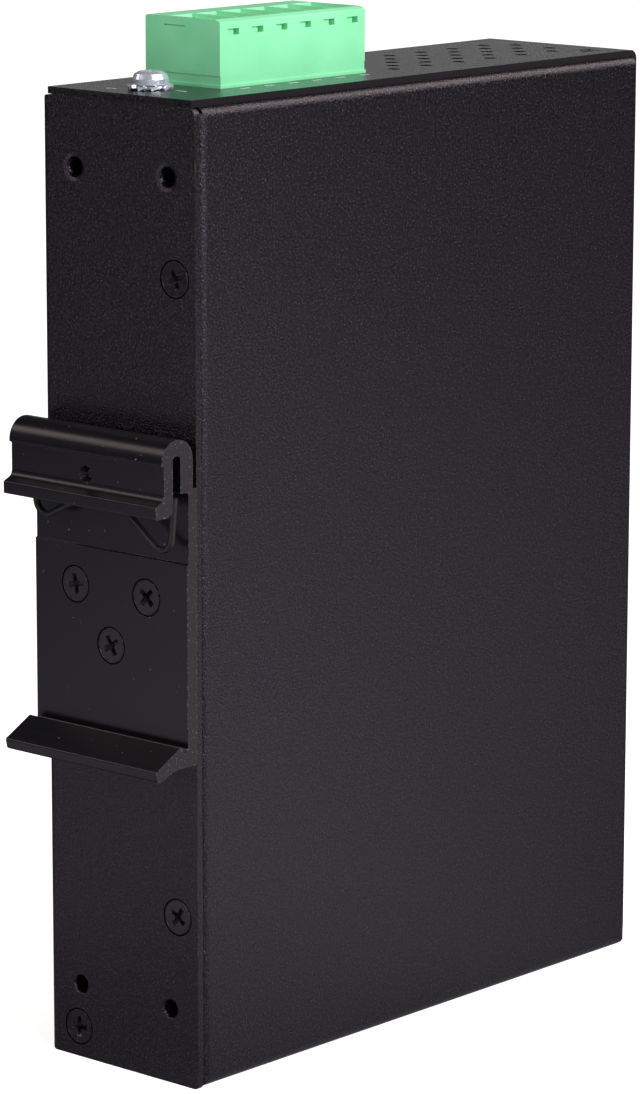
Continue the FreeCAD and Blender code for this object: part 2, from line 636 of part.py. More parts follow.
def lamp_block(z, side):
    low = BOARD_FACE - JACK_HEIGHT + 1.0
    middle = z + side * 5.2
    return box(low, low + 2.0, JACK_FRONT + SHIELD, JACK_FRONT + 4, middle - 1.5, middle + 1.5)


def jack_lamps(z):
    return Part.makeCompound([lamp_block(z, side) for side in (-1, 1)])


def jack_contacts(z):
    """Eight sprung wires: along the cavity's floor, then folded back up towards the mouth."""
    floor = BOARD_FACE - 2.0
    front = JACK_FRONT + SHIELD
    wires = []
    for i in range(8):
        middle = z + (i - 3.5) * 1.02
        bend = [(floor, front + 14, 0), (floor, front + 12.2, 0), (floor - 2.3, front + 7.0, 0),
                (floor - 2.6, front + 7.2, 0), (floor - 0.35, front + 12.4, 0), (floor - 0.35, front + 14, 0)]
        wires.append(along_z(bend, middle - 0.22, middle + 0.22))
    return Part.makeCompound(wires)


def chip(y, z, size, height):
    """Leadless package with chamfered top edges."""
    edge = 0.3
    face = BOARD_FACE
    half = size / 2
    base = box(face - height + edge, face, y - half, y + half, z - half, z + half)
    lid_low = rounded_wire([(y - half, z - half, 0), (y + half, z - half, 0), (y + half, z + half, 0),
                            (y - half, z + half, 0)], lambda a, b: vec(face - height + edge, a, b))
    inner = half - edge
    lid_top = rounded_wire([(y - inner, z - inner, 0), (y + inner, z - inner, 0),
                            (y + inner, z + inner, 0), (y - inner, z + inner, 0)],
                           lambda a, b: vec(face - height, a, b))
    return base.fuse(Part.makeLoft([lid_low, lid_top], True)).removeSplitter()


def switch_chip():
    return chip(8.0, 62.0, 14.0, 1.2)


def chip_heat_sink():
    """Finned aluminium block on the switch chip."""
    top = BOARD_FACE - 1.2
    fins = [box(top - 7.0, top - 1.4, 8.0 - 7.0 + 2.6 * i, 8.0 - 7.0 + 2.6 * i + 1.0, 55.0, 69.0)
            for i in range(6)]
    return fuse([box(top - 1.5, top, 1.0, 15.0, 55.0, 69.0)] + fins)


def port_magnetics(z):
    """Transformer module of one port, its long sides drafted."""
    y0, y1 = -25.0, -18.0
    return along_z([(BOARD_FACE - 5.0, y0 + 0.5, 0), (BOARD_FACE, y0, 0), (BOARD_FACE, y1, 0),
                    (BOARD_FACE - 5.0, y1 - 0.5, 0)], z - 6.3, z + 6.3)


def power_inductor():
    """Shielded coil: a square ferrite block with bevelled corners."""
    y, z, half, cut = 30.0, 104.0, 5.0, 1.2
    corners = [(y + a, z + b, 0) for a, b in
               ((-half, cut - half), (cut - half, -half), (half - cut, -half), (half, cut - half),
                (half, half - cut), (half - cut, half), (cut - half, half), (-half, half - cut))]
    return along_x(corners, BOARD_FACE - 4.8, BOARD_FACE)


def filter_capacitors():
    """Aluminium cans with bevelled tops, on square plastic bases."""
    cans = []
    for y, z in ((30.0, 88.0), (30.0, 76.5), (19.0, 88.0)):
        can = rod(4.0, vec(BOARD_FACE, y, z), vec(BOARD_FACE - 9.6, y, z))
        can = can.fuse(taper(4.0, 3.6, vec(BOARD_FACE - 9.6, y, z), vec(BOARD_FACE - 10.0, y, z)))
        base = box(BOARD_FACE - 1.0, BOARD_FACE, y - 4.2, y + 4.2, z - 4.2, z + 4.2)
        cans.append(can.fuse(base).removeSplitter())
    return Part.makeCompound(cans)


def alarm_relay():
    y, z = 30.0, 60.0
    return box(BOARD_FACE - 10.0, BOARD_FACE, y - 5.0, y + 5.0, z - 7.5, z + 7.5)


def clock_crystal():
    y, z = 10.0, 44.0
    corners = [(y - 5.5, z - 2.3, 2.2), (y + 5.5, z - 2.3, 2.2), (y + 5.5, z + 2.3, 2.2),
               (y - 5.5, z + 2.3, 2.2)]
    return along_x(corners, BOARD_FACE - 3.5, BOARD_FACE)


def status_lamps():
    """Chip lamps at the board's front edge, one behind each light pipe."""
    return Part.makeCompound([box(BOARD_FACE - 1.0, BOARD_FACE, -43.0, -41.0, z - 0.8, z + 0.8)
                              for z in STATUS_Z])


def light_pipes():
    """Clear pipes from the lamps, turned once towards the front plate."""
    pipes = []
    for z in STATUS_Z:
        tip = FRONT - 0.5
        stem = rod(1.25, vec(STATUS_X, tip, z), vec(STATUS_X, -41.0, z))
        corners = [(STATUS_X - 1.0, -43.5, 0), (BOARD_FACE - 1.0, -43.5, 0),
                   (BOARD_FACE - 1.0, -40.5, 0), (STATUS_X + 0.6, -40.5, 0)]
        foot = along_z(corners, z - 1.2, z + 1.2)
        pipes.append(stem.fuse(foot).removeSplitter())
    return Part.makeCompound(pipes)


def build():
    os.makedirs("parts", exist_ok=True)
    single = (rear_left_shell, right_cover, front_wrap, panel_screws, panel_nuts, din_clip,
              clip_spring, clip_screws, clip_nuts, cover_top_screw, cover_top_nut, ground_screw,
              star_washer, ground_nut, terminal_header, header_pins, terminal_plug, plug_screws,
              wire_clamps, plug_contacts, main_board, board_standoffs, board_screws, switch_chip,
              chip_heat_sink, power_inductor, filter_capacitors, alarm_relay, clock_crystal,
              status_lamps, light_pipes)
    for make in single:
        save(make.__name__, make())
    for number, z in enumerate(jack_centres(), 1):
        for make in (jack_shield, jack_insert, jack_contacts, jack_lamps, port_magnetics):
            save(f"{make.__name__}_{number}", make(z))


build()
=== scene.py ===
import math

import bpy
from mathutils import Euler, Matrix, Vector


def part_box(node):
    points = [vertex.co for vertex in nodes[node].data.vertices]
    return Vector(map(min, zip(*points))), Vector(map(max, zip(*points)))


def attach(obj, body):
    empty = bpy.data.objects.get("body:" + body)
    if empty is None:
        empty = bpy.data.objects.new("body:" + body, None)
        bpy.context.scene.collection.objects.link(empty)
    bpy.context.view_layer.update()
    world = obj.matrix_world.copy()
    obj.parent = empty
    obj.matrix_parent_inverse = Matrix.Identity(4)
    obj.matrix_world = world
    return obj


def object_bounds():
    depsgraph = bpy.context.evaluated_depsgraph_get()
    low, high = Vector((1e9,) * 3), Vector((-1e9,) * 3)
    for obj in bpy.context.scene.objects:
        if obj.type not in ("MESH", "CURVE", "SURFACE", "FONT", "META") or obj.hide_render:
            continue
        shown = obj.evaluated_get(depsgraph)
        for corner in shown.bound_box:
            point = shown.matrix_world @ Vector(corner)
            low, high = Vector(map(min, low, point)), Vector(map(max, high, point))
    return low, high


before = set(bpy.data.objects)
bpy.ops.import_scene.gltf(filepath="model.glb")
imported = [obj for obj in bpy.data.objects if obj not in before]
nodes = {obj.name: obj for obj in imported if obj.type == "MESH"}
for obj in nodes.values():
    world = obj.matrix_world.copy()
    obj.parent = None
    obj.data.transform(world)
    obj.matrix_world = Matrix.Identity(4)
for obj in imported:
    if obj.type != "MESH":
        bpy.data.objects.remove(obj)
cad_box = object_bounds()


# ---- Table, lamps and camera -----------------------------------------------------------
# The switch stands upright on a sheet of white paper, between soft lamps on its side, back,
# top and front. Polished and painted faces mirror a painted reflection laid on the paper,
# bright beside the switch and dimmer further out. A small lamp lights the coat's grains, a
# wide far one grazes the top plate.

def table_top():
    """White paper to the eye; mirror rays see a painted reflection on it, at levels by place."""
    # Painted reflection levels by metres along the first way below, faded down on the side of
    # the switch away from near_way.
    reflection_way = (-0.66, -0.75, 0.0)
    reflection_reach = 1.2
    reflection_levels = ((-0.70, 0.04), (-0.42, 0.62), (-0.16, 0.66), (-0.06, 0.16), (0.0, 0.30),
                   (0.06, 0.62), (0.18, 1.0), (0.40, 1.0), (0.66, 0.22), (1.00, 0.02))
    reflection_end = 0.03
    near_way = (-0.755, 0.655, 0.0)
    far_edge, near_edge, far_level = -0.06, 0.045, 0.15
    half_width = 9.0
    mat = bpy.data.materials.new("white_table")
    mat.use_nodes = True
    nt = mat.node_tree
    nt.nodes.clear()
    make = nt.nodes.new
    link = nt.links.new
    out = make("ShaderNodeOutputMaterial")
    path = make("ShaderNodeLightPath")
    lit = make("ShaderNodeAddShader")
    matt = make("ShaderNodeBsdfDiffuse")
    matt.inputs["Color"].default_value = (0.80, 0.80, 0.80, 1)
    glow = make("ShaderNodeEmission")
    seen = make("ShaderNodeMath")
    seen.operation = "ADD"
    level = make("ShaderNodeMath")
    level.operation = "MULTIPLY"
    level.inputs[1].default_value = 0.75
    link(path.outputs["Is Camera Ray"], seen.inputs[0])
    link(path.outputs["Is Transmission Ray"], seen.inputs[1])
    link(seen.outputs[0], level.inputs[0])
    link(level.outputs[0], glow.inputs["Strength"])
    link(matt.outputs[0], lit.inputs[0])
    link(glow.outputs[0], lit.inputs[1])
    place = make("ShaderNodeNewGeometry")
    along = make("ShaderNodeVectorMath")
    along.operation = "DOT_PRODUCT"
    along.inputs[1].default_value = reflection_way
    spread = make("ShaderNodeMapRange")
    spread.inputs["From Min"].default_value = -reflection_reach
    spread.inputs["From Max"].default_value = reflection_reach
    reflection_ramp = make("ShaderNodeValToRGB")
    reflection_ramp.color_ramp.interpolation = "EASE"
    for where, level_there in reflection_levels:
        stop = reflection_ramp.color_ramp.elements.new((where + reflection_reach) / (2 * reflection_reach))
        stop.color = (level_there * 0.97, level_there * 0.95, level_there, 1)
    for end in (0, -1):
        reflection_ramp.color_ramp.elements[end].color = (reflection_end, reflection_end, reflection_end, 1)
    across = make("ShaderNodeVectorMath")
    across.operation = "DOT_PRODUCT"
    across.inputs[1].default_value = near_way
    fade = make("ShaderNodeMapRange")
    fade.interpolation_type = "SMOOTHSTEP"
    fade.inputs["From Min"].default_value = far_edge
    fade.inputs["From Max"].default_value = near_edge
    fade.inputs["To Min"].default_value = far_level
    link(place.outputs["Position"], along.inputs[0])
    link(along.outputs["Value"], spread.inputs["Value"])
    link(spread.outputs["Result"], reflection_ramp.inputs["Fac"])
    link(place.outputs["Position"], across.inputs[0])
    link(across.outputs["Value"], fade.inputs["Value"])
    # Mirror rays see this painted reflection in place of the paper.
    mirrored = make("ShaderNodeEmission")
    link(reflection_ramp.outputs["Color"], mirrored.inputs["Color"])
    link(fade.outputs["Result"], mirrored.inputs["Strength"])
    pick = make("ShaderNodeMixShader")
    link(path.outputs["Is Glossy Ray"], pick.inputs["Fac"])
    link(lit.outputs[0], pick.inputs[1])
    link(mirrored.outputs[0], pick.inputs[2])
    link(pick.outputs[0], out.inputs["Surface"])
    mesh = bpy.data.meshes.new("table")
    w, z = half_width, cad_box[0][2]
    mesh.from_pydata([(-w, -w, z), (w, -w, z), (w, w, z), (-w, w, z)], [], [(0, 1, 2, 3)])
    mesh.materials.append(mat)
    table = bpy.data.objects.new("table", mesh)
    bpy.context.scene.collection.objects.link(table)


def soft_lamp(name, place, target, size, watts, tint=(1, 1, 1)):
    data = bpy.data.lights.new(name, "AREA")
    data.shape = "RECTANGLE"
    data.size, data.size_y = size
    data.energy = watts
    data.color = tint
    lamp = bpy.data.objects.new(name, data)
    lamp.location = place
    aim = Vector(target) - Vector(place)
    lamp.rotation_euler = aim.to_track_quat("-Z", "Y").to_euler()
    bpy.context.scene.collection.objects.link(lamp)


table_top()
warm, warmer = (1.0, 0.90, 0.80), (1.0, 0.88, 0.76)
soft_lamp("side_lamp", (-1.00, 0.12, 0.68), (-0.01, 0.0, 0.06), (0.8, 0.45), 12.0)
soft_lamp("back_lamp", (0.30, 1.20, 0.50), (0.0, 0.05, 0.06), (0.8, 0.7), 2.3)
soft_lamp("top_lamp", (0.79, 0.56, 0.70), (0.0, 0.05, 0.09), (0.40, 0.36), 1.1, warmer)
soft_lamp("front_lamp", (-0.27, -0.98, 0.92), (0.0, -0.05, 0.1), (0.7, 0.6), 4.5, warm)
soft_lamp("far_lamp", (1.25, -1.36, 0.32), (0.0, 0.0, 0.14), (1.6, 0.5), 0.9)
soft_lamp("grain_lamp", (-0.84, -0.56, 0.74), (-0.015, 0.03, 0.11), (0.20, 0.20), 1.7)

world = bpy.data.worlds.new("studio")
bpy.context.scene.world = world
world.use_nodes = True
sky = world.node_tree.nodes["Background"]
sky.inputs["Color"].default_value = (1, 1, 1, 1)
ray = world.node_tree.nodes.new("ShaderNodeLightPath")
dark_room = world.node_tree.nodes.new("ShaderNodeMapRange")
dark_room.inputs["To Min"].default_value = 0.25
dark_room.inputs["To Max"].default_value = 0.05
world.node_tree.links.new(ray.outputs["Is Glossy Ray"], dark_room.inputs["Value"])
world.node_tree.links.new(dark_room.outputs["Result"], sky.inputs["Strength"])

frame_width, frame_height = 640, 1094
sensor = 36.0
turn = [math.radians(angle) for angle in (78.34476, -0.09035, -138.31467)]
camera_data = bpy.data.cameras.new("camera")
camera_data.sensor_fit = "VERTICAL"
camera_data.sensor_height = sensor
camera_data.sensor_width = sensor * frame_width / frame_height
camera_data.lens = 151.466
camera_data.clip_start = 0.01
camera = bpy.data.objects.new("camera", camera_data)
camera.location = (-0.44741, 0.51014, 0.20981)
camera.rotation_euler = Euler(turn, "XYZ")
bpy.context.scene.collection.objects.link(camera)
bpy.context.scene.camera = camera

bpy.context.scene.view_settings.view_transform = "Standard"


# ---- Folded steel case -----------------------------------------------------------------
# Three folded sheets of 1 mm steel: the back panel with the left wall, the right wall as a
# tray, and one strip for top, front and bottom. All are powder coated black with a fine
# sandy grain, which is rubbed on the outer corners.

def new_finish(name):
    mat = bpy.data.materials.new(name)
    mat.use_nodes = True
    return mat, mat.node_tree, mat.node_tree.nodes["Principled BSDF"]


def object_noise(nt, scale, detail=2.0, roughness=0.5, stretch=(1, 1, 1)):
    """Noise on the piece's own coordinates, in cells per metre."""
    coord = nt.nodes.new("ShaderNodeTexCoord")
    place = nt.nodes.new("ShaderNodeMapping")
    place.inputs["Scale"].default_value = stretch
    noise = nt.nodes.new("ShaderNodeTexNoise")
    noise.inputs["Scale"].default_value = scale
    noise.inputs["Detail"].default_value = detail
    noise.inputs["Roughness"].default_value = roughness
    nt.links.new(coord.outputs["Object"], place.inputs["Vector"])
    nt.links.new(place.outputs["Vector"], noise.inputs["Vector"])
    return noise.outputs["Fac"]


def ramp(nt, value, low, high, out_low=0.0, out_high=1.0):
    node = nt.nodes.new("ShaderNodeMapRange")
    node.inputs["From Min"].default_value = low
    node.inputs["From Max"].default_value = high
    node.inputs["To Min"].default_value = out_low
    node.inputs["To Max"].default_value = out_high
    nt.links.new(value, node.inputs["Value"])
    return node.outputs["Result"]


def blend(nt, amount, first, second):
    """Mix two colours; either may be a fixed colour or a socket."""
    node = nt.nodes.new("ShaderNodeMix")
    node.data_type = "RGBA"
    nt.links.new(amount, node.inputs["Factor"])
    for socket, value in ((node.inputs["A"], first), (node.inputs["B"], second)):
        if hasattr(value, "is_output"):
            nt.links.new(value, socket)
        else:
            socket.default_value = (*value, 1)
    return node.outputs["Result"]


def combine(nt, operation, first, second):
    node = nt.nodes.new("ShaderNodeMath")
    node.operation = operation
    nt.links.new(first, node.inputs[0])
    nt.links.new(second, node.inputs[1])
    return node.outputs[0]


def grain(nt, shader, height, strength, distance):
    node = nt.nodes.new("ShaderNodeBump")
    node.inputs["Strength"].default_value = strength
    node.inputs["Distance"].default_value = distance
    nt.links.new(height, node.inputs["Height"])
    nt.links.new(node.outputs["Normal"], shader.inputs["Normal"])


def edge_wear_and_highlight(nt, radius, noise):
    """1 along an outer corner, broken up by a noise: rubbed wear, and on some finishes a painted
    edge highlight.
    """
    soft = nt.nodes.new("ShaderNodeBevel")
    soft.samples = 4
    soft.inputs["Radius"].default_value = radius
    flat = nt.nodes.new("ShaderNodeNewGeometry")
    dot = nt.nodes.new("ShaderNodeVectorMath")
    dot.operation = "DOT_PRODUCT"
    nt.links.new(soft.outputs["Normal"], dot.inputs[0])
    nt.links.new(flat.outputs["Normal"], dot.inputs[1])
    edge = ramp(nt, dot.outputs["Value"], 0.97, 0.80)
    return combine(nt, "MULTIPLY", edge, ramp(nt, noise, 0.50, 0.68))


def sideways(nt):
    """How much a face looks to the left or the right, from 0 to 1."""
    facing = nt.nodes.new("ShaderNodeNewGeometry")
    split = nt.nodes.new("ShaderNodeSeparateXYZ")
    side = nt.nodes.new("ShaderNodeMath")
    side.operation = "ABSOLUTE"
    nt.links.new(facing.outputs["Normal"], split.inputs[0])
    nt.links.new(split.outputs["X"], side.inputs[0])
    return side.outputs[0]


def surface(nt, shader, colour, noise, smooth, rough):
    """Set the colour, and a roughness that goes up with the noise."""
    nt.links.new(colour, shader.inputs["Base Color"])
    nt.links.new(ramp(nt, noise, 0.3, 0.7, smooth, rough), shader.inputs["Roughness"])


def powder_coat(name, gloss, depth):
    """Sandy black coat with pale specks, rubbed on the outer corners."""
    hollow, crest = (0.0014, 0.0011, 0.0017), (0.0205, 0.0178, 0.0205)
    pale, rubbed = (0.07, 0.066, 0.07), (0.040, 0.034, 0.030)
    mat, nt, shader = new_finish(name)
    sand = object_noise(nt, 3400, 2.0, 0.6)
    patch = object_noise(nt, 260, 3.0, 0.55)
    fleck = object_noise(nt, 2600, 1.0, 0.5)
    colour = blend(nt, ramp(nt, sand, 0.47, 0.66), hollow, crest)
    colour = blend(nt, ramp(nt, fleck, 0.77, 0.81), colour, pale)
    colour = blend(nt, edge_wear_and_highlight(nt, 0.0003, patch), colour, rubbed)
    surface(nt, shader, colour, sand, gloss, gloss + 0.10)
    shader.inputs["Specular IOR Level"].default_value = 0.64
    shader.inputs["Specular Tint"].default_value = (0.92, 0.80, 1.0, 1)
    grain(nt, shader, sand, 1.0, depth)
    return mat


def shaded_cut_edges(mat):
    """The strip's cut edges face sideways: thin and dull, painted near-black as shade."""
    nt = mat.node_tree
    shader = nt.nodes["Principled BSDF"]
    cut_edge_shade = ramp(nt, sideways(nt), 0.85, 0.97)
    coated = shader.inputs["Base Color"].links[0].from_socket
    sheen = shader.inputs["Roughness"].links[0].from_socket
    # Near-black on the sideways cut edges: painted shade, for the shade line along the top
    # plate's edge.
    nt.links.new(blend(nt, cut_edge_shade, coated, (0.0015, 0.0013, 0.0014)), shader.inputs["Base Color"])
    nt.links.new(combine(nt, "MAXIMUM", sheen, cut_edge_shade), shader.inputs["Roughness"])
    return mat


def dress(names, mat):
    """Give CAD nodes their finish; their own slots are overwritten."""
    for name in names:
        mesh = nodes[name].data
        mesh.materials.clear()
        mesh.materials.append(mat)


dress(["rear_left_shell", "right_cover"], powder_coat("black_powder_coat", 0.18, 0.00012))
dress(["front_wrap"], shaded_cut_edges(powder_coat("strip_powder_coat", 0.17, 0.00011)))


# ---- Rail clip -------------------------------------------------------------------------
# One aluminium extrusion, sawn to 30 mm and anodised black. Its long faces keep the faint
# lines of the die; the sawn ends are duller and greyer, with bright burrs.

def black_anodised(name, end_tint):
    dark, light = (0.0040, 0.0034, 0.0050), (0.0058, 0.0050, 0.0070)
    burr, dust, bare_and_glint = (0.14, 0.13, 0.125), (0.16, 0.155, 0.16), (0.26, 0.245, 0.23)
    mat, nt, shader = new_finish(name)
    lines = object_noise(nt, 1500, 3.0, 0.6, (0.03, 1, 1))
    speck = object_noise(nt, 3000, 2.0, 0.5)
    fleck = object_noise(nt, 1900, 1.0, 0.5)
    side = sideways(nt)
    colour = blend(nt, ramp(nt, lines, 0.35, 0.65), dark, light)
    sawn = blend(nt, ramp(nt, speck, 0.62, 0.76), end_tint, burr)
    colour = blend(nt, ramp(nt, side, 0.90, 0.98), colour, sawn)
    colour = blend(nt, ramp(nt, fleck, 0.765, 0.79), colour, dust)
    # Pale along the outer edges: partly burrs and rubbed anodising, partly a painted edge
    # highlight.
    colour = blend(nt, edge_wear_and_highlight(nt, 0.00022, speck), colour, bare_and_glint)
    nt.links.new(colour, shader.inputs["Base Color"])
    dull = combine(nt, "MAXIMUM", ramp(nt, lines, 0.3, 0.7, 0.27, 0.31),
                   ramp(nt, side, 0.90, 0.98, 0.0, 0.55))
    nt.links.new(dull, shader.inputs["Roughness"])
    shader.inputs["Specular IOR Level"].default_value = 0.50
    shader.inputs["Specular Tint"].default_value = (0.92, 0.82, 1.0, 1)
    grain(nt, shader, lines, 0.04, 0.00002)
    return mat


dress(["din_clip"], black_anodised("clip_anodised", (0.014, 0.0125, 0.0135)))


# ---- Clip spring -----------------------------------------------------------------------
# Hard-drawn spring wire, 1 mm thick, blackened, bent to a W and pushed up into the slot of
# the hook, where one dimple holds it.

def spring_wire():
    mat, nt, shader = new_finish("blackened_wire")
    draw = object_noise(nt, 2500, 2.0, 0.6)
    colour = blend(nt, ramp(nt, draw, 0.35, 0.7), (0.012, 0.011, 0.011), (0.030, 0.028, 0.027))
    surface(nt, shader, colour, draw, 0.28, 0.42)
    shader.inputs["Metallic"].default_value = 0.35
    grain(nt, shader, draw, 0.2, 0.00002)
    return mat


dress(["clip_spring"], spring_wire())


# ---- Black countersunk screws ----------------------------------------------------------
# M3 steel screws with a cross recess, blackened and oiled: three hold the clip, two the
# right wall, one the bottom tab. A smaller one holds the top plate.

def blackened_steel():
    mat, nt, shader = new_finish("blackened_steel")
    oxide = object_noise(nt, 1800, 3.0, 0.6)
    rub_and_glint = object_noise(nt, 1200, 2.0, 0.6)
    colour = blend(nt, ramp(nt, oxide, 0.35, 0.7), (0.007, 0.0065, 0.0075), (0.016, 0.015, 0.016))
    # Pale on the outer and recess edges: partly rubbed wear, partly painted lamp glints.
    colour = blend(nt, edge_wear_and_highlight(nt, 0.00012, rub_and_glint), colour, (0.22, 0.21, 0.20))
    surface(nt, shader, colour, oxide, 0.20, 0.34)
    shader.inputs["Specular Tint"].default_value = (0.96, 0.88, 1.0, 1)
    grain(nt, shader, oxide, 0.2, 0.00002)
    return mat


def gap_shadow():
    """Painted shade: a dark ring for the shadow in the gap round a head."""
    dark, light = (0.0006, 0.0005, 0.0007), (0.0016, 0.0014, 0.0017)
    mat, nt, shader = new_finish("gap_painted_shade")
    shade_grain = object_noise(nt, 2400, 2.0, 0.5)
    colour = blend(nt, ramp(nt, shade_grain, 0.35, 0.7), dark, light)
    surface(nt, shader, colour, shade_grain, 0.85, 0.95)
    shader.inputs["Specular IOR Level"].default_value = 0.0
    return mat


def node_group(name, sizes):
    """Geometry tree whose inputs are named sizes; returns the tree and its two end nodes."""
    tree = bpy.data.node_groups.new(name, "GeometryNodeTree")
    tree.interface.new_socket("Geometry", in_out="INPUT", socket_type="NodeSocketGeometry")
    for label, kind in sizes:
        tree.interface.new_socket(label, in_out="INPUT", socket_type=kind)
    tree.interface.new_socket("Geometry", in_out="OUTPUT", socket_type="NodeSocketGeometry")
    return tree, tree.nodes.new("NodeGroupInput"), tree.nodes.new("NodeGroupOutput")


def grown(name, points, tree, values):
    """Run a tree on a mesh of bare points and keep the result as a plain mesh."""
    seed = bpy.data.meshes.new(name + "_places")
    seed.from_pydata(points, [], [])
    carrier = bpy.data.objects.new(name + "_places", seed)
    bpy.context.scene.collection.objects.link(carrier)
    maker = carrier.modifiers.new("maker", "NODES")
    maker.node_group = tree
    for item in tree.interface.items_tree:
        if item.in_out == "INPUT" and item.name in values:
            maker[item.identifier] = values[item.name]
    graph = bpy.context.evaluated_depsgraph_get()
    mesh = bpy.data.meshes.new_from_object(carrier.evaluated_get(graph))
    bpy.data.objects.remove(carrier)
    mesh.name = name
    piece = bpy.data.objects.new(name, mesh)
    bpy.context.scene.collection.objects.link(piece)
    return piece


def on_points(tree, given, out, shape):
    """Put a shape on every point, make it real and give it its finish."""
    make, link = tree.nodes.new, tree.links.new
    put = make("GeometryNodeInstanceOnPoints")
    real = make("GeometryNodeRealizeInstances")
    paint = make("GeometryNodeSetMaterial")
    link(given.outputs["Geometry"], put.inputs["Points"])
    link(shape, put.inputs["Instance"])
    link(put.outputs["Instances"], real.inputs["Geometry"])
    link(real.outputs["Geometry"], paint.inputs["Geometry"])
    link(given.outputs["Finish"], paint.inputs["Material"])
    link(paint.outputs["Geometry"], out.inputs["Geometry"])
    return tree


def ring_tree():
    """A flattened ring, facing +Y, at every point."""
    tree, given, out = node_group("head_ring", [
        ("Radius", "NodeSocketFloat"), ("Width", "NodeSocketFloat"),
        ("Flatness", "NodeSocketFloat"), ("Finish", "NodeSocketMaterial")])
    make, link = tree.nodes.new, tree.links.new
    rim = make("GeometryNodeCurvePrimitiveCircle")
    rim.inputs["Resolution"].default_value = 48
    bead = make("GeometryNodeCurvePrimitiveCircle")
    bead.inputs["Resolution"].default_value = 8
    sweep = make("GeometryNodeCurveToMesh")
    flat = make("GeometryNodeTransform")
    size = make("ShaderNodeCombineXYZ")
    size.inputs["X"].default_value = 1.0
    size.inputs["Y"].default_value = 1.0
    flat.inputs["Rotation"].default_value = (math.radians(90), 0.0, 0.0)
    link(given.outputs["Radius"], rim.inputs["Radius"])
    link(given.outputs["Width"], bead.inputs["Radius"])
    link(rim.outputs["Curve"], sweep.inputs["Curve"])
    link(bead.outputs["Curve"], sweep.inputs["Profile Curve"])
    link(given.outputs["Flatness"], size.inputs["Z"])
    link(size.outputs["Vector"], flat.inputs["Scale"])
    link(sweep.outputs["Mesh"], flat.inputs["Geometry"])
    return on_points(tree, given, out, flat.outputs["Geometry"])


head_steel = blackened_steel()
dress(["panel_screws", "clip_screws", "cover_top_screw"], head_steel)
panel_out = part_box("panel_screws")[1][1]
clip_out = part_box("clip_screws")[1][1]
m3_head = 0.0027
panel_heads = [(-0.0110, panel_out, 0.1170), (-0.0110, panel_out, 0.0250),
               (0.0090, panel_out, 0.00455)]
clip_heads = [(0.0070, clip_out, 0.0715), (-0.0070, clip_out, 0.0715), (0.0, clip_out, 0.0635)]
ring = ring_tree()
# The gap rings are painted shade, dark rings for the shadow in the gap round each head.
for name, radius, width, flatness, finish in (
        ("head_rims", m3_head - 0.00026, 0.00008, 0.9, head_steel),
        ("head_gap_shade", m3_head + 0.00001, 0.00015, 0.4, gap_shadow())):
    piece = grown(name, panel_heads + clip_heads, ring,
                  {"Radius": radius, "Width": width, "Flatness": flatness, "Finish": finish})
    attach(piece, "root")


# ---- Zinc-plated hardware --------------------------------------------------------------
# The earth screw and its toothed washer on the top plate, and the weld nuts, standoffs
# and board screws inside. Steel, bright zinc plated with a faint blue cast.

def zinc_plate():
    mat, nt, shader = new_finish("bright_zinc")
    cast = object_noise(nt, 700, 3.0, 0.6)
    pit = object_noise(nt, 4000, 2.0, 0.6)
    colour = blend(nt, ramp(nt, cast, 0.35, 0.7), (0.76, 0.83, 0.98), (0.94, 0.96, 1.0))
    surface(nt, shader, colour, pit, 0.16, 0.28)
    shader.inputs["Metallic"].default_value = 0.65
    grain(nt, shader, pit, 0.05, 0.00002)
    return mat


zinc = zinc_plate()
dress(["ground_screw", "star_washer", "ground_nut", "panel_nuts", "clip_nuts", "cover_top_nut",
       "board_standoffs", "board_screws"], zinc)


# ---- Printed ticks ---------------------------------------------------------------------
# Plain white screen-printed ticks on the top plate: one beside each pole of the terminal
# block, and one on each side of the earth screw.

def printed_ink():
    mat, nt, shader = new_finish("white_ink")
    wear = object_noise(nt, 3500, 2.0, 0.6)
    colour = blend(nt, ramp(nt, wear, 0.38, 0.55), (0.20, 0.20, 0.20), (0.74, 0.74, 0.73))
    surface(nt, shader, colour, wear, 0.40, 0.55)
    grain(nt, shader, wear, 0.2, 0.00002)
    return mat


def tick_tree():
    """A thin bar of ink at every point."""
    tree, given, out = node_group("ink_tick", [
        ("Size", "NodeSocketVector"), ("Finish", "NodeSocketMaterial")])
    bar = tree.nodes.new("GeometryNodeMeshCube")
    tree.links.new(given.outputs["Size"], bar.inputs["Size"])
    return on_points(tree, given, out, bar.outputs["Mesh"])


plate_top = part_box("front_wrap")[1][2]
plug_low, plug_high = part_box("terminal_plug")
washer_low, washer_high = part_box("star_washer")
washer = (washer_low + washer_high) / 2
poles, pitch = 6, 0.00508
pole_gap = 0.0022
middle = (plug_low[1] + plug_high[1]) / 2
ink_depth = 0.00004
beside_poles = [(plug_low[0] - pole_gap, middle + (i - (poles - 1) / 2) * pitch, plate_top)
                for i in range(poles)]
beside_earth = [(washer[0] + 0.0048, washer[1] + 0.0030, plate_top),
                (washer[0] - 0.0050, washer[1] - 0.0010, plate_top)]
tick = tick_tree()
ink = printed_ink()
for name, places, size in (("pole_ticks", beside_poles, (0.0005, 0.0020, ink_depth)),
                           ("earth_ticks", beside_earth, (0.0018, 0.0005, ink_depth))):
    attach(grown(name, places, tick, {"Size": size, "Finish": ink}), "root")


# ---- Terminal block --------------------------------------------------------------------
# A right-angle socket soldered to the board and the six-pole plug pushed into it, both
# moulded in green polyamide with a satin skin. Tin-plated pins, cages and screws inside.

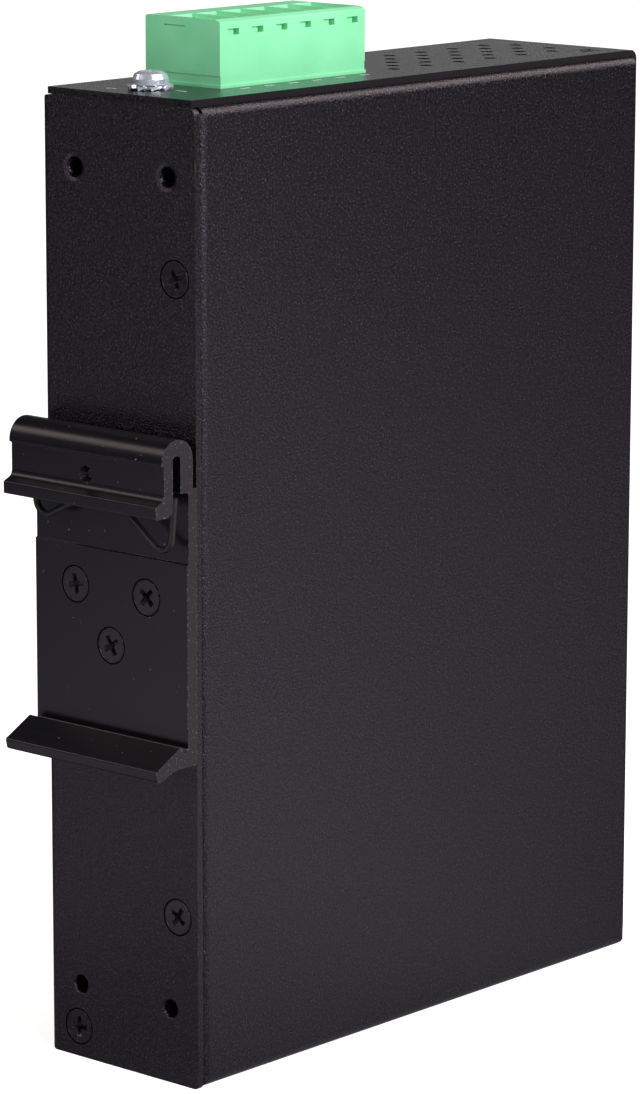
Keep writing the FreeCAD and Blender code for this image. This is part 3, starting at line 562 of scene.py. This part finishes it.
def green_polyamide():
    mat, nt, shader = new_finish("green_polyamide")
    cloud = object_noise(nt, 120, 3.0, 0.5)
    skin = object_noise(nt, 2600, 2.0, 0.6)
    colour = blend(nt, ramp(nt, cloud, 0.35, 0.65), (0.240, 0.780, 0.410), (0.290, 0.840, 0.465))
    # Paler along the outer edges: a painted edge highlight.
    colour = blend(nt, edge_wear_and_highlight(nt, 0.0003, skin), colour, (0.52, 0.92, 0.66))
    surface(nt, shader, colour, skin, 0.34, 0.44)
    shader.inputs["Specular IOR Level"].default_value = 0.36
    grain(nt, shader, skin, 0.15, 0.00002)
    return mat


def tin_plate():
    mat, nt, shader = new_finish("tin_plate")
    draw = object_noise(nt, 1800, 2.0, 0.6, (1, 1, 0.2))
    colour = blend(nt, ramp(nt, draw, 0.35, 0.7), (0.58, 0.57, 0.54), (0.74, 0.73, 0.70))
    surface(nt, shader, colour, draw, 0.22, 0.34)
    shader.inputs["Metallic"].default_value = 1.0
    grain(nt, shader, draw, 0.15, 0.00002)
    return mat


tin = tin_plate()
dress(["terminal_header", "terminal_plug"], green_polyamide())
dress(["header_pins", "plug_screws", "wire_clamps", "plug_contacts"], tin)


# ---- Main board ------------------------------------------------------------------------
# Glass-fibre laminate under a green solder mask. It carries every socket and package and
# stands on four standoffs along the left wall.

def solder_mask():
    mat, nt, shader = new_finish("solder_mask")
    weave = object_noise(nt, 900, 2.0, 0.5)
    colour = blend(nt, ramp(nt, weave, 0.35, 0.65), (0.010, 0.085, 0.030), (0.016, 0.120, 0.045))
    surface(nt, shader, colour, weave, 0.26, 0.38)
    grain(nt, shader, weave, 0.15, 0.00003)
    return mat


dress(["main_board"], solder_mask())


# ---- Packages on the board -------------------------------------------------------------
# Moulded black packages, the relay, the ferrite coil, the aluminium cans and the crystal's
# tin-plated can, all soldered to the board. The finned heat sink is glued on the switch chip.

def moulded_package(name, dark, light, rough):
    mat, nt, shader = new_finish(name)
    pit = object_noise(nt, 3500, 2.0, 0.6)
    colour = blend(nt, ramp(nt, pit, 0.35, 0.7), dark, light)
    surface(nt, shader, colour, pit, rough, rough + 0.14)
    grain(nt, shader, pit, 0.3, 0.00003)
    return mat


def bare_aluminium():
    mat, nt, shader = new_finish("bare_can")
    spun = object_noise(nt, 1500, 2.0, 0.5, (0.1, 1, 1))
    colour = blend(nt, ramp(nt, spun, 0.35, 0.7), (0.60, 0.61, 0.63), (0.74, 0.75, 0.77))
    surface(nt, shader, colour, spun, 0.24, 0.36)
    shader.inputs["Metallic"].default_value = 1.0
    return mat


package = moulded_package("moulded_package", (0.010, 0.010, 0.011), (0.022, 0.022, 0.023), 0.46)
dress(["switch_chip", "alarm_relay"] + [f"port_magnetics_{i}" for i in range(1, 6)], package)
ferrite = moulded_package("ferrite", (0.040, 0.040, 0.043), (0.075, 0.075, 0.080), 0.50)
dress(["power_inductor"], ferrite)
dress(["filter_capacitors"], bare_aluminium())
dress(["clock_crystal"], tin)
dress(["chip_heat_sink"], black_anodised("sink_anodised", (0.012, 0.011, 0.012)))


# ---- Network sockets -------------------------------------------------------------------
# Five single sockets: a folded tin-plated shield, a black moulded insert with the latch
# notch, eight gold-plated wires and two tinted lamp windows.

def gold_wire():
    mat, nt, shader = new_finish("gold_wire")
    draw = object_noise(nt, 3000, 2.0, 0.5)
    colour = blend(nt, ramp(nt, draw, 0.35, 0.7), (0.78, 0.56, 0.20), (0.90, 0.68, 0.30))
    surface(nt, shader, colour, draw, 0.18, 0.30)
    shader.inputs["Metallic"].default_value = 1.0
    return mat


def tinted_lens(name, dark, light):
    mat, nt, shader = new_finish(name)
    cloud = object_noise(nt, 900, 2.0, 0.5)
    colour = blend(nt, ramp(nt, cloud, 0.35, 0.65), dark, light)
    surface(nt, shader, colour, cloud, 0.14, 0.24)
    return mat


insert_black = moulded_package("socket_black", (0.012, 0.012, 0.013), (0.024, 0.024, 0.025), 0.36)
lens = tinted_lens("lamp_lens", (0.30, 0.42, 0.10), (0.40, 0.52, 0.16))
gold = gold_wire()
for number in range(1, 6):
    dress([f"jack_shield_{number}"], tin)
    dress([f"jack_insert_{number}"], insert_black)
    dress([f"jack_contacts_{number}"], gold)
    dress([f"jack_lamps_{number}"], lens)


# ---- Status lamps ----------------------------------------------------------------------
# Three chip lamps soldered on the board, and the clear moulded pipes over them that carry
# their light to the front plate.

clear_pipe = tinted_lens("clear_pipe", (0.62, 0.66, 0.60), (0.74, 0.77, 0.72))
dress(["status_lamps", "light_pipes"], clear_pipe)
